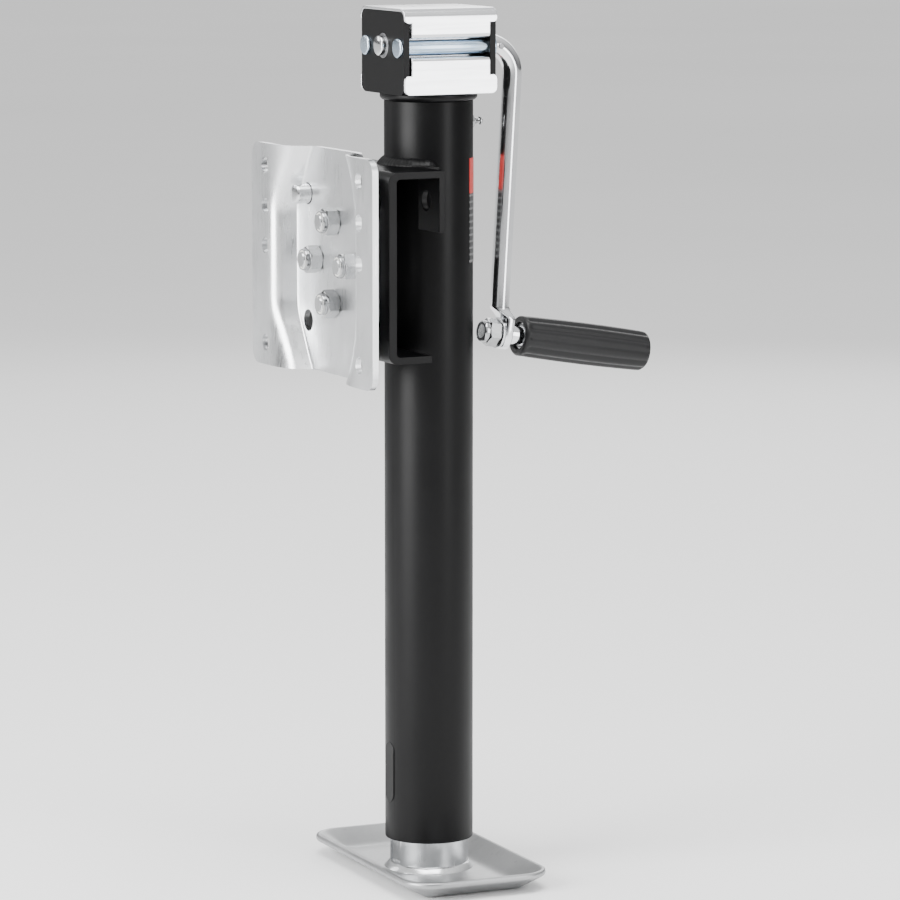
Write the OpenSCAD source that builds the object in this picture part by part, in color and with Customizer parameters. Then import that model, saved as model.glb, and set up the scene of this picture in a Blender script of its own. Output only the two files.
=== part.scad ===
// Side-wind trailer tongue jack with a swivelling, bolt-on mount plate.
// Z is up. The origin is on the tube's axis at the underside of the foot.
// +X is the crank side, -X is the mount side.

/* [Leg tubes] */
// Outside diameter of the outer tube
tube_d = 57.2; // [56:0.1:58]
// Wall of the outer tube
tube_wall = 2.9; // [2.5:0.1:3]
// Height of the outer tube's lower end
tube_bottom = 23.5; // [18:0.5:40]
// Height of the outer tube's upper end
tube_top = 504; // [502:1:506]
// Outside diameter of the inner tube
inner_d = 50.8; // [50:0.1:51]
// Wall of the inner tube
inner_wall = 3.2; // [3:0.1:3.5]
// Height of the inner tube's upper end, retracted
inner_top = 479; // [474:1:479]

/* [Foot] */
// Width of the foot across the jack
foot_x = 100; // [90:1:120]
// Length of the foot
foot_y = 178; // [160:1:210]
// Height of the flared rim's top edge
foot_rim_z = 13; // [11:0.5:16]
// Thickness of the pressed sheet
foot_t = 3.2; // [2.5:0.1:4]
// Run of the flared sides, from the rim in to the flat bottom
foot_flare = 17.5; // [12:0.5:20]
// Radius of the foot's corners
foot_r = 21; // [19:1:25]
// Turn of the foot on the leg, degrees
foot_yaw = -2.3; // [-5:0.1:5]

/* [Head] */
// Width of the gear head across its two side plates
head_x = 65; // [64:0.5:66]
// Depth of the gear head's side plates
head_y = 62; // [61:0.5:63]
// Height of the crank shaft's axis
shaft_z = 539; // [538.5:0.1:539.5]
// Distance from the shaft to each tie rivet
rivet_y = 23.8; // [23.5:0.1:24]
// Height of the tie rivets
rivet_z = 538.3; // [538:0.1:539]
// Thickness of the cover's sheet
cover_t = 1.8; // [1.5:0.1:2]

/* [Crank] */
// Diameter of the crank's bar
bar_d = 12.7; // [12.5:0.1:12.8]
// Radius of the crank's bend, at the bar's middle
bend_r = 20; // [18:0.5:24]
// Lean of the crank's arm towards the tube, degrees
arm_lean = 3.4; // [0:0.1:4]
// Tilt of the grip's axis below level, degrees
grip_tilt = 9.2; // [4:0.1:10]
// Length of the grip
grip_len = 93.6; // [85:0.1:110]
// Diameter at the middle of the grip
grip_d = 28; // [26:0.5:32]

/* [Mount] */
// Height of the swivel's axis
pivot_z = 402; // [400:0.5:404]
// Width of the mount plate
plate_w = 182; // [170:1:190]
// Height of the mount plate
plate_h = 144; // [135:1:150]
// Thickness of the mount plate
plate_t = 4; // [3:0.1:4]
// Depth from the plate's bolting face to its dished floor
dish_depth = 17; // [15:0.5:17]
// Bolt column spacing on the mount plate
bolt_cols = 141.3; // [140:0.1:146]
// Outer bolt row spacing on the mount plate
bolt_rows = 115.2; // [110:0.1:118]
// Diameter of the mount plate's bolt holes
bolt_hole_d = 10.7; // [9:0.1:12]
// Distance from the swivel's axis to the lock pin
index_r = 58; // [57:0.5:59]

/* [Hidden] */
$fn = 64;

eps = 0.5;              // overshoot of cutting tools
fit = 0.05;             // radial running fit
snug = 0.02;            // gap between fixed pieces
gap = 0.3;              // gap between pieces that move past each other

tube_bore = tube_d - 2 * tube_wall;
key_w = 12;
grease_z = 489;
key_z = 48;
key_h = 40;
groove_depth = 1.6;

// thrust bearing and screw, from the nut up
screw_d = 19;
screw_bottom = 58;
nut_h = 26;
shoulder_z = 481;
race_z = 486;
race_h = 3;
ball_d = 4;
ball_ring_r = 14;
seat_z = race_z + 2 * race_h + ball_d;
journal_d = 20;
stub_d = 16;
bush_d = 22;

// gear head
collar_h = 4.5;
head_z = tube_top + collar_h;
side_t = 4;
side_top = 561.3;
cover_top = 563.2;
cover_half_y = head_y / 2 + 0.2 + cover_t;
cover_half_x = head_x / 2 + 0.3;
waist_half_x = head_x / 2 - side_t - 0.9;
groove_r = 6;
rivet_d = 10;
shaft_bush_d = 16;

// bevel gears: pitch cones meet at the apex on both axes
apex_z = shaft_z;
gear_teeth = 24;
pinion_teeth = 12;
gear_r = 24;
pinion_r = gear_r * pinion_teeth / gear_teeth;
face_share = 0.72;      // small-end radius over large-end radius
addendum = 1.6;
dedendum = 2.1;

// crank
shaft_end = -head_x / 2 - 3.7;
bend_x = 40;
grip_x = 53.8;
grip_z = 350.2;
paddle_t = 6.3;
paddle_w = 20;
arm_foot_z = 372;
bolt_d = 10;
sleeve_d = 12;
grip_start = 10.7;
grip_end_d = 26;
head_pocket = 9;

// swivel mount, measured along X
web_out = -57;
web_t = 5.5;
flange_t = 4.5;
bracket_half_y = 60;
bracket_low = 342;
bracket_high = 463;
ear_x = -22;
ear_t = 4;
top_flange_end = ear_x + ear_t;
low_flange_end = -27;
plate_face = -83.3;
floor_face = plate_face + dish_depth;
floor_back = floor_face + plate_t;
dish_half = 61;
dish_end_half = 36;
dish_straight = 35;
hub_r = 32;
hub_flange_r = 46;
retainer_r = 45;
retainer_t = 4;
web_in = web_out + web_t;
retainer_x = web_in + gap;
swivel_bolt_r = 26.3;
index_d = index_r * sqrt(0.5);
row_offsets = [57.6, 31.6, 5.6, -57.6];
pin_d = 12.7;
pin_tip = -76.6;
pin_end = 4;
collar_t = 3;

// ---------- shared shapes ----------

// cylinder along X from x0 to x1, centred on y, z
module rod_x(x0, x1, d, y = 0, z = 0) {
    translate([x0, y, z]) rotate([0, 90, 0]) cylinder(d = d, h = x1 - x0);
}

// cylinder along Y from y0 to y1, centred on x, z
module rod_y(y0, y1, d, x = 0, z = 0) {
    translate([x, y0, z]) rotate([-90, 0, 0]) cylinder(d = d, h = y1 - y0);
}

// upright ring from z0 to z1
module ring_z(z0, z1, d_out, d_in) {
    translate([0, 0, z0]) difference() {
        cylinder(d = d_out, h = z1 - z0);
        translate([0, 0, -eps]) cylinder(d = d_in, h = z1 - z0 + 2 * eps);
    }
}

// rectangle of w by h with rounded corners, centred
module round_rect(w, h, r) {
    square([w - 2 * r, h], center = true);
    square([w, h - 2 * r], center = true);
    for (x = [-1, 1], y = [-1, 1])
        translate([x * (w / 2 - r), y * (h / 2 - r)]) circle(r = r);
}

// extrude a shape drawn in Y and Z from x0 to x1
module slab_x(x0, x1) {
    translate([x0, 0, 0]) rotate([90, 0, 90]) linear_extrude(x1 - x0) children();
}

// shape drawn across and along the grip's axis, with the bolt's place in the arm as origin
module on_grip_axis() {
    translate([grip_x, 0, grip_z]) rotate([0, 90 + grip_tilt, 0]) children();
}

// the four places of the swivel's bolts
module at_swivel_bolts() {
    for (a = [0 : 90 : 270])
        translate([0, swivel_bolt_r * cos(a), pivot_z + swivel_bolt_r * sin(a)]) children();
}

// ---------- outer leg ----------

// upright bar with round ends along -X, from x0 to x1
module key_bar(w, x0, x1) {
    for (z = [key_z + key_w / 2, key_z + key_h - key_w / 2]) rod_x(x0, x1, w, 0, z);
    translate([x0, -w / 2, key_z + key_w / 2]) cube([x1 - x0, w, key_h - key_w]);
}

module outer_tube() {
    color("#1b1b1d") difference() {
        ring_z(tube_bottom, tube_top, tube_d, tube_bore);
        key_bar(key_w, -tube_d, 0);
        rod_x(0, tube_d, 5 + 2 * snug, 0, grease_z);
    }
}

module guide_key() {
    color("#202022") key_bar(key_w - 2 * snug, -tube_d / 2 - 0.2, -inner_d / 2 + groove_depth - gap);
}

module bearing_seat() {
    color("#6b6d70") ring_z(seat_z, tube_top - snug, tube_bore - 2 * snug, bush_d + 2 * snug);
}

module head_collar() {
    color("#1b1b1d") difference() {
        union() {
            translate([0, 0, tube_top + 1.5]) cylinder(d = 62.6, h = collar_h - 1.5);
            translate([0, 0, tube_top]) cylinder(d1 = 59.6, d2 = 62.6, h = 1.5);
        }
        translate([0, 0, tube_top - eps]) cylinder(d = bush_d + 2 * snug, h = collar_h + 2 * eps);
    }
}

module screw_bushing() {
    color("#b08d57") difference() {
        union() {
            translate([0, 0, seat_z]) cylinder(d = bush_d, h = head_z + side_t - seat_z + 1);
            translate([0, 0, head_z + side_t + snug]) cylinder(d = 27, h = 1.4);
        }
        translate([0, 0, seat_z - eps]) cylinder(d = stub_d + 2 * fit, h = 40);
    }
}

// ---------- thrust bearing ----------

module race(z0, bore) {
    difference() {
        translate([0, 0, z0]) cylinder(d = 36, h = race_h);
        translate([0, 0, z0 - eps]) cylinder(d = bore, h = race_h + 2 * eps);
    }
}

module lower_race() {
    color("#c9ccd0") race(race_z + snug, journal_d + 2 * snug);
}

module upper_race() {
    color("#c9ccd0") race(seat_z - race_h - snug, journal_d + 2);
}

module at_balls() {
    for (a = [0 : 30 : 330])
        rotate([0, 0, a]) translate([ball_ring_r, 0, race_z + race_h + ball_d / 2]) children();
}

module bearing_balls() {
    color("#dfe2e6") at_balls() sphere(d = ball_d - 0.1);
}

module bearing_cage() {
    color("#b08d57") difference() {
        ring_z(race_z + race_h + 1.2, race_z + race_h + 2.8, 34, 23);
        at_balls() cylinder(d = ball_d + 0.5, h = 6, center = true);
    }
}

// ---------- gear head ----------

module side_plate() {
    translate([0, 0, (head_z + side_top) / 2]) slab_x(head_x / 2 - side_t, head_x / 2)
        round_rect(head_y, side_top - head_z, 6);
}

module gear_housing() {
    color("#1b1b1d") difference() {
        union() {
            side_plate();
            mirror([1, 0, 0]) side_plate();
            translate([-head_x / 2 + 1, -head_y / 2 + 6, head_z]) cube([head_x - 2, head_y - 12, side_t]);
        }
        rod_x(-head_x, head_x, shaft_bush_d + 2 * snug, 0, shaft_z);
        for (s = [-1, 1]) rod_x(-head_x, head_x, rivet_d + 2 * snug, s * rivet_y, rivet_z);
        translate([0, 0, head_z - eps]) cylinder(d = bush_d + 2 * snug, h = side_t + 2 * eps);
    }
}

// side view of the cover, inset by t, with a rounded mouth to each rivet groove
module cover_side(t, low) {
    half = cover_half_y - t;
    r = 7 - t;
    mouth = cover_half_y - 3;
    difference() {
        union() {
            translate([-half, low]) square([2 * half, cover_top - 7 - low]);
            translate([-half + r, cover_top - 7]) square([2 * (half - r), 7 - t]);
            for (s = [-1, 1]) translate([s * (half - r), cover_top - 7]) circle(r = r);
        }
        for (s = [-1, 1]) {
            translate([s * rivet_y, rivet_z]) circle(r = groove_r + t);
            translate([s > 0 ? rivet_y : -40, rivet_z - groove_r - t]) square([40 - rivet_y, 2 * (groove_r + t)]);
            difference() {
                translate([s > 0 ? mouth : -40, rivet_z - groove_r - 3]) square([40 - mouth, 2 * groove_r + 6]);
                for (u = [-1, 1]) translate([s * mouth, rivet_z + u * (groove_r + 3)]) circle(r = 3 - t);
            }
        }
    }
}

// region cut from one side of the cover's front and rear, between its rounded lips
module waist_cut() {
    r = 3;
    low = 521;
    high = 554;
    side = cover_half_x;
    translate([waist_half_x, low]) square([20, high - low]);
    for (z = [low, high]) difference() {
        translate([side - r, z > low ? z - 1 : z - r]) square([10, r + 1]);
        translate([side - r, z > low ? z + r : z - r]) circle(r = r);
    }
    difference() {
        translate([side - r - 1, head_z - 4]) square([10, r + 5.2]);
        translate([side - r - 1, head_z + 0.2 + r + 1]) circle(r = r + 1);
    }
}

module gear_cover() {
    color("#c9cbce") difference() {
        slab_x(-cover_half_x, cover_half_x) difference() {
            cover_side(0, head_z + 0.2);
            cover_side(cover_t, head_z - 5);
        }
        for (s = [0, 1], y = [-12, 48]) mirror([s, 0, 0])
            translate([0, y, 0]) rotate([90, 0, 0]) linear_extrude(36) waist_cut();
    }
}

// rivet with a flat head outside each side plate
module tie_rivet(y) {
    color("#aeb9c4") {
        rod_x(-head_x / 2 - snug, head_x / 2 + snug, rivet_d, y, rivet_z);
        for (x = [-head_x / 2 - 2 - snug, head_x / 2 + snug]) rod_x(x, x + 2, 12.6, y, rivet_z);
    }
}

module tie_rivet_front() { tie_rivet(-rivet_y); }
module tie_rivet_rear() { tie_rivet(rivet_y); }

module shaft_bushings() {
    color("#b08d57") for (s = [0, 1]) mirror([s, 0, 0]) difference() {
        union() {
            rod_x(head_x / 2 - side_t - snug, head_x / 2, shaft_bush_d, 0, shaft_z);
            rod_x(head_x / 2 - side_t - 1.5, head_x / 2 - side_t - snug, 20, 0, shaft_z);
        }
        rod_x(0, head_x, bar_d + 2 * fit, 0, shaft_z);
    }
}

// ---------- bevel gears ----------

// point at distance a outside the pitch cone, at share k of the way from the apex
function cone_pt(r, depth, k, a) = let (c = atan(r / depth))
    [k * r + a * cos(c), -k * depth + a * sin(c)];

// tooth spaces of a bevel gear about Z with its apex at the origin, opening downwards
module tooth_spaces(r, depth, teeth, from) {
    root = cone_pt(r, depth, 1, -dedendum);
    for (i = [0 : teeth - 1])
        rotate([0, 0, (i + 0.5) * 360 / teeth])
            rotate([0, 90 + atan2(-root[1], root[0]), 0])
                translate([0, 0, norm(root) * from])
                    linear_extrude(norm(root) * (1.12 - from))
                        polygon([[0, -1], [0, 1], [-7, 4.1], [-7, -4.1]]);
}

module screw_gear() {
    r = gear_r;
    d = pinion_r;
    k = face_share;
    low = 514.3 - apex_z;
    top = 527 - apex_z;
    color("#8d9096") difference() {
        translate([0, 0, apex_z]) difference() {
            rotate_extrude() polygon([
                [stub_d / 2 + snug, low], [13.5, low], [13.5, low + 5],
                cone_pt(r, d, 1, -dedendum - 2.5), cone_pt(r, d, 1, addendum), cone_pt(r, d, k, k * addendum),
                cone_pt(r, d, k, -k * dedendum - 0.8), [12, top], [stub_d / 2 + snug, top]
            ]);
            tooth_spaces(r, d, gear_teeth, 0.5);
        }
        rod_y(-20, 20, 5 + 2 * snug, 0, 518.5);
    }
}

module screw_gear_pin() {
    color("#5d6066") rod_y(-13.2, 13.2, 5, 0, 518.5);
}

module pinion_gear() {
    r = pinion_r;
    d = gear_r;
    k = face_share;
    bore_r = bar_d / 2 + snug;
    hub = 8.2;
    color("#8d9096") difference() {
        translate([0, 0, apex_z]) rotate([0, 90, 0]) rotate([0, 0, 180 / pinion_teeth]) difference() {
            rotate_extrude() polygon([
                [bore_r, -26], [8, -26], cone_pt(r, d, 1, addendum), cone_pt(r, d, k, k * addendum),
                [hub, -17.5], [hub, -5], [bore_r, -5]
            ]);
            tooth_spaces(r, d, pinion_teeth, 0.7);
        }
        rod_y(-20, 20, 4 + 2 * snug, -9.5, shaft_z);
    }
}

module pinion_pin() {
    color("#5d6066") rod_y(-7.8, 7.8, 4, -9.5, shaft_z);
}

// ---------- fittings on the outer leg ----------

module grease_fitting() {
    x = tube_d / 2 - 2.5;
    color("#b9bcc0") translate([x, 0, grease_z]) rotate([0, 90, 0]) {
        cylinder(d = 5, h = 3);
        translate([0, 0, 2.6]) cylinder(d = 8, h = 2.8, $fn = 6);
        translate([0, 0, 5]) cylinder(d1 = 6, d2 = 3.6, h = 2);
        translate([0, 0, 6.8]) cylinder(d = 3.4, h = 2.4);
        translate([0, 0, 9]) cylinder(d1 = 3.6, d2 = 5, h = 0.8);
        translate([0, 0, 9.7]) cylinder(d1 = 4.9, d2 = 3, h = 1.6);
    }
}

// thin curved plate on the tube's crank side
module info_label() {
    low = 400;
    high = 467;
    color("#b3261e") translate([0, 0, low]) rotate([0, 0, -51])
        rotate_extrude(angle = 102) translate([tube_d / 2 + snug, 0]) square([0.3, high - low]);
}

// ---------- swivel bracket ----------

module bracket_channel() {
    w = top_flange_end - web_out;
    r = 6;
    translate([0, bracket_half_y, 0]) rotate([90, 0, 0]) linear_extrude(2 * bracket_half_y) difference() {
        union() {
            translate([web_out + r, bracket_low]) square([w - r, bracket_high - bracket_low]);
            translate([web_out, bracket_low + r]) square([r + 1, bracket_high - bracket_low - 2 * r]);
            for (z = [bracket_low + r, bracket_high - r]) translate([web_out + r, z]) circle(r = r);
        }
        translate([web_in + 2.5, bracket_low + flange_t]) square([60, bracket_high - bracket_low - 2 * flange_t]);
        translate([web_in, bracket_low + flange_t + 2.5]) square([3, bracket_high - bracket_low - 2 * flange_t - 5]);
        for (z = [bracket_low + flange_t + 2.5, bracket_high - flange_t - 2.5])
            translate([web_in + 2.5, z]) circle(r = 2.5);
        translate([low_flange_end, bracket_low - eps]) square([60, flange_t + 2 * eps]);
    }
}

module ear(s) {
    low = 424;
    inner = 30;
    translate([ear_x, s > 0 ? inner : -bracket_half_y, low])
        cube([ear_t, bracket_half_y - inner, bracket_high - flange_t - low + 1]);
}

module swivel_bracket() {
    color("#1b1b1d") difference() {
        union() {
            bracket_channel();
            ear(1);
            ear(-1);
            translate([top_flange_end - 1, -30, bracket_high - flange_t]) cube([12, 60, flange_t]);
        }
        translate([0, 0, bracket_low - 5]) cylinder(d = tube_d + 2 * snug, h = bracket_high - bracket_low + 10);
        rod_x(web_out - 5, web_in + 5, 2 * hub_r + 2 * fit, 0, pivot_z);
        for (s = [-1, 1]) rod_x(web_out - 5, 0, pin_d + 2 * 0.2, s * index_d, pivot_z + index_d);
    }
}

// fillet welds where the two flanges meet the tube
module bracket_welds() {
    r = tube_d / 2 + 2 * snug;
    color("#242426") {
        rotate([0, 0, 180 - 75]) rotate_extrude(angle = 150)
            polygon([[r, bracket_high + snug], [r + 4.5, bracket_high + snug], [r + 3, bracket_high + 3], [r, bracket_high + 5.5]]);
        rotate([0, 0, 180 - 17]) rotate_extrude(angle = 34)
            polygon([[r, bracket_low - snug], [r + 2, bracket_low - 1.6], [r + 3.6, bracket_low - snug]]);
    }
}

// coil drawn as a plain sleeve between the collar and the ear
module pin_spring() {
    x0 = web_in + gap + collar_t + 0.1;
    color("#9aa0a6") difference() {
        rod_x(x0, ear_x - 0.1, 18, index_d, pivot_z + index_d);
        rod_x(x0 - 1, ear_x + 1, 15, index_d, pivot_z + index_d);
    }
}

// ---------- inner leg ----------

module inner_tube() {
    flat = inner_d / 2 - groove_depth;
    color("#c4c7ca") difference() {
        ring_z(foot_t + snug, inner_top, inner_d, inner_d - 2 * inner_wall);
        translate([-inner_d, -key_w / 2 - gap, foot_t + 2]) cube([inner_d - flat, key_w + 2 * gap, inner_top - foot_t - 6]);
    }
}

module lift_nut() {
    top = inner_top - 4;
    color("#b08d57") difference() {
        ring_z(top - nut_h, top, inner_d - 2 * inner_wall - 2 * snug, screw_d + 2 * 0.08);
        rotate([0, 0, 90]) translate([screw_d, 0, top - 3]) cylinder(d = 4, h = 5);
    }
}

// section of the foot's flared side: x runs outwards from the flat bottom's edge
module foot_side_section(inner) {
    t = foot_t;
    polygon([
        [inner, 0], [inner + foot_flare, foot_rim_z - 3.7], [inner + foot_flare, foot_rim_z - 0.6],
        [inner + foot_flare - 0.6, foot_rim_z], [inner + foot_flare - 1.6, foot_rim_z],
        [inner - 1, t], [inner - 1.5, t], [inner - 1.5, 0]
    ]);
}

module foot_plate() {
    half_x = foot_x / 2 - foot_flare;
    half_y = foot_y / 2 - foot_flare;
    r = foot_r - foot_flare;
    color("#c9cbce") rotate([0, 0, foot_yaw]) {
        linear_extrude(foot_t) round_rect(2 * half_x - 2, 2 * half_y - 2, r - 1);
        for (a = [0 : 90 : 270]) {
            odd = (a % 180 == 0);
            along = odd ? half_y : half_x;
            out = odd ? half_x : half_y;
            rotate([0, 0, a]) translate([0, along - r, 0]) rotate([90, 0, 0])
                linear_extrude(2 * (along - r)) foot_side_section(out);
            rotate([0, 0, a]) translate([out - r, along - r, 0])
                rotate_extrude(angle = 90) foot_side_section(r);
        }
    }
}

module foot_weld() {
    r = inner_d / 2 + snug;
    color("#a9acb0") rotate_extrude() polygon([[r, foot_t + snug], [r + 2.4, foot_t + snug], [r, foot_t + 2]]);
}

// ---------- lifting screw ----------

module lift_screw() {
    color("#74777c") difference() {
        union() {
            translate([0, 0, screw_bottom + 2]) cylinder(d = screw_d, h = shoulder_z - screw_bottom - 2);
            translate([0, 0, screw_bottom]) cylinder(d1 = screw_d - 4, d2 = screw_d, h = 2);
            translate([0, 0, shoulder_z]) cylinder(d = 30, h = race_z - shoulder_z);
            translate([0, 0, race_z]) cylinder(d = journal_d, h = race_h + 2);
            translate([0, 0, race_z + race_h + 2]) cylinder(d = stub_d, h = 529 - race_z - race_h - 2);
        }
        rod_y(-20, 20, 5 + 2 * snug, 0, 518.5);
    }
}

// ---------- crank ----------

// wedge that passes from inside the round arm into the flat end of the crank
module arm_taper(foot) {
    across = 4.2 * [cos(arm_lean), -sin(arm_lean)];
    out = (paddle_t / 2 - 0.2) * [cos(grip_tilt), -sin(grip_tilt)];
    flat = [grip_x, grip_z] + 11 * [sin(grip_tilt), cos(grip_tilt)];
    top = foot + 6 * [sin(arm_lean), cos(arm_lean)];
    half_w = paddle_w / 2 - 0.3;
    intersection() {
        rotate([90, 0, 0]) linear_extrude(40, center = true)
            polygon([top + across, foot + across, flat + out, flat - out, foot - across, top - across]);
        translate([30, 0, 0]) rotate([90, 0, 90]) linear_extrude(60) polygon([
            [-4.2, top[1] + 2], [4.2, top[1] + 2], [4.2, foot[1]], [half_w, flat[1] + 2], [half_w, flat[1] - 2],
            [-half_w, flat[1] - 2], [-half_w, flat[1] + 2], [-4.2, foot[1]]
        ]);
    }
}

module crank_bar() {
    centre = [bend_x, shaft_z - bend_r];
    bend_end = centre + bend_r * [cos(arm_lean), -sin(arm_lean)];
    arm_len = (bend_end[1] - arm_foot_z) / cos(arm_lean);
    foot = [bend_end[0] - arm_len * sin(arm_lean), arm_foot_z];
    color("#d3d6da") difference() {
        union() {
            rod_x(shaft_end, bend_x + 0.5, bar_d - 0.1, 0, shaft_z);
            translate([centre[0], 0, centre[1]]) rotate([90, 0, 0]) rotate([0, 0, -arm_lean])
                rotate_extrude(angle = 90 + arm_lean) translate([bend_r, 0]) circle(d = bar_d);
            translate([bend_end[0], 0, bend_end[1]]) rotate([0, 180 + arm_lean, 0]) translate([0, 0, -0.5])
                cylinder(d = bar_d - 0.1, h = arm_len + 0.5);
            arm_taper(foot);
            on_grip_axis() translate([0, 0, -paddle_t / 2]) linear_extrude(paddle_t) {
                circle(d = paddle_w);
                translate([-13, -paddle_w / 2]) square([13, paddle_w]);
            }
        }
        on_grip_axis() cylinder(d = bolt_d + 0.3, h = 30, center = true);
        rod_y(-20, 20, 4 + 2 * snug, 49, shaft_z - 2);
        rod_y(-20, 20, 4 + 2 * snug, -9.5, shaft_z);
    }
}

module crank_cross_pin() {
    color("#5d6066") rod_y(-bar_d / 2 - 0.6, bar_d / 2 + 0.6, 4, 49, shaft_z - 2);
}

// the bolt, sleeve, washer and nut share the grip's axis
module grip_bolt() {
    head_low = grip_start + grip_len - head_pocket + 0.3;
    color("#c4c7ca") on_grip_axis() {
        translate([0, 0, -16]) cylinder(d = bolt_d, h = head_low + 16);
        translate([0, 0, head_low]) cylinder(d = 17.5, h = 6.4, $fn = 6);
    }
}

module grip_sleeve() {
    high = grip_start + grip_len - head_pocket + 0.2;
    color("#d3d6da") on_grip_axis() difference() {
        union() {
            translate([0, 0, paddle_t / 2 + snug]) cylinder(d = sleeve_d, h = high - paddle_t / 2);
            translate([0, 0, grip_start + 2]) cylinder(d = 17, h = 2);
        }
        translate([0, 0, -5]) cylinder(d = bolt_d + 2 * snug, h = high + 20);
    }
}

module grip_washer() {
    color("#c4c7ca") on_grip_axis() translate([0, 0, -paddle_t / 2 - 1.5 - snug]) difference() {
        cylinder(d = 20, h = 1.5);
        translate([0, 0, -1]) cylinder(d = bolt_d + 0.4, h = 4);
    }
}

module grip_lock_nut() {
    color("#c4c7ca") on_grip_axis() rotate([0, 0, 30]) translate([0, 0, -13]) difference() {
        union() {
            cylinder(d = 18.6, h = 8.2, $fn = 6);
            translate([0, 0, -3.4]) cylinder(d = 14, h = 3.6);
        }
        translate([0, 0, -3]) cylinder(d = bolt_d + 2 * snug, h = 20);
        translate([0, 0, -4]) cylinder(d = 12, h = 4);
    }
}

module grip_nut_insert() {
    color("#2b5fa8") on_grip_axis() translate([0, 0, -16.3]) difference() {
        cylinder(d = 12 - 2 * snug, h = 3.2);
        translate([0, 0, -1]) cylinder(d = bolt_d + 2 * snug, h = 6);
    }
}

module hand_grip() {
    flutes = 12;
    high = grip_start + grip_len;
    mid = (grip_start + high) / 2;
    color("#1d1d1f") on_grip_axis() difference() {
        rotate_extrude() polygon([
            [sleeve_d / 2 + 0.09, grip_start], [grip_end_d / 2 - 2, grip_start], [grip_end_d / 2, grip_start + 2],
            [grip_d / 2, mid - 12], [grip_d / 2, mid + 12],
            [grip_end_d / 2 + 0.3, high - 3], [grip_end_d / 2 - 2.5, high], [sleeve_d / 2 + 0.09, high]
        ]);
        for (a = [0 : 360 / flutes : 359])
            rotate([0, 0, a]) translate([grip_d / 2 + 1.3, 0, grip_start - 1]) cylinder(d = 5.6, h = grip_len + 2);
        translate([0, 0, grip_start - 1]) cylinder(d = 18, h = 6);
        translate([0, 0, high - head_pocket]) cylinder(d = 19, h = head_pocket + 1);
    }
}

// ---------- swivel mount ----------

// outline of the dish, grown by g, drawn in Y and Z about the swivel's axis
module dish_outline(g) {
    tall = plate_h / 2 + 5;
    end_half = dish_end_half - (dish_half - dish_end_half) * 5 / (plate_h / 2 - dish_straight);
    w = dish_half + g;
    e = end_half + g;
    s = dish_straight;
    polygon([[w, -s], [w, s], [e, tall], [-e, tall], [-w, s], [-w, -s], [-e, -tall], [e, -tall]]);
}

module mount_plate() {
    color("#c9cbce") translate([0, 0, pivot_z]) difference() {
        intersection() {
            slab_x(plate_face, floor_back) round_rect(plate_w, plate_h, 9);
            union() {
                difference() {
                    slab_x(plate_face, plate_face + plate_t) round_rect(plate_w, plate_h, 9);
                    slab_x(plate_face - 1, plate_face + plate_t + 1) dish_outline(0);
                }
                difference() {
                    slab_x(plate_face, floor_back) dish_outline(plate_t);
                    slab_x(plate_face - 1, floor_face) dish_outline(0);
                }
            }
        }
        for (y = [-1, 1], z = row_offsets) rod_x(plate_face - 1, 0, bolt_hole_d, y * bolt_cols / 2, z);
        for (a = [0 : 90 : 270])
            rod_x(floor_face - 1, 0, 10.3, swivel_bolt_r * cos(a), swivel_bolt_r * sin(a));
        for (a = [45, -45]) rod_x(floor_face - 1, 0, pin_d + 1.4, index_r * cos(a), index_r * sin(a));
    }
}

module swivel_hub() {
    color("#8d9096") difference() {
        union() {
            rod_x(floor_back + snug, web_out - gap, 2 * hub_flange_r, 0, pivot_z);
            rod_x(web_out - 1, retainer_x - snug, 2 * hub_r, 0, pivot_z);
        }
        at_swivel_bolts() rod_x(floor_back - 1, 0, 10.3);
    }
}

module retainer_disc() {
    color("#8d9096") difference() {
        rod_x(retainer_x, retainer_x + retainer_t, 2 * retainer_r, 0, pivot_z);
        at_swivel_bolts() rod_x(retainer_x - 1, 0, 10.3);
    }
}

module swivel_bolts() {
    head = retainer_x + retainer_t + snug;
    color("#c4c7ca") at_swivel_bolts() {
        rod_x(floor_face - 12.4, head, bolt_d);
        translate([head, 0, 0]) rotate([0, 90, 0]) cylinder(d = 18.4, h = 6.4, $fn = 6);
    }
}

module swivel_nuts() {
    color("#c4c7ca") at_swivel_bolts() translate([floor_face - snug, 0, 0]) rotate([0, -90, 0]) difference() {
        union() {
            cylinder(d = 18.4, h = 8.4, $fn = 6);
            translate([0, 0, 8.4]) cylinder(d = 14.4, h = 3);
        }
        translate([0, 0, -1]) cylinder(d = bolt_d + 2 * snug, h = 20);
        translate([0, 0, 8.6]) cylinder(d = 12.4, h = 4);
    }
}

module swivel_nut_inserts() {
    color("#e8e8e6") at_swivel_bolts() translate([floor_face - 8.7, 0, 0]) rotate([0, -90, 0]) difference() {
        cylinder(d = 12.4 - 2 * snug, h = 2.4);
        translate([0, 0, -1]) cylinder(d = bolt_d + 2 * snug, h = 6);
    }
}

// ---------- lock pin ----------

module lock_pin() {
    y = index_d;
    z = pivot_z + index_d;
    color("#c4c7ca") difference() {
        union() {
            rod_x(pin_tip + 1, pin_end, pin_d, y, z);
            translate([pin_tip, y, z]) rotate([0, 90, 0]) cylinder(d1 = pin_d - 2, d2 = pin_d, h = 1);
        }
        translate([-2, y, z - 30]) cylinder(d = 8 + 2 * snug, h = 60);
    }
}

module pin_collar() {
    y = index_d;
    z = pivot_z + index_d;
    color("#8d9096") difference() {
        rod_x(web_in + gap, web_in + gap + collar_t, 20, y, z);
        rod_x(web_in, web_in + 10, pin_d + 2 * snug, y, z);
    }
}

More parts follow.
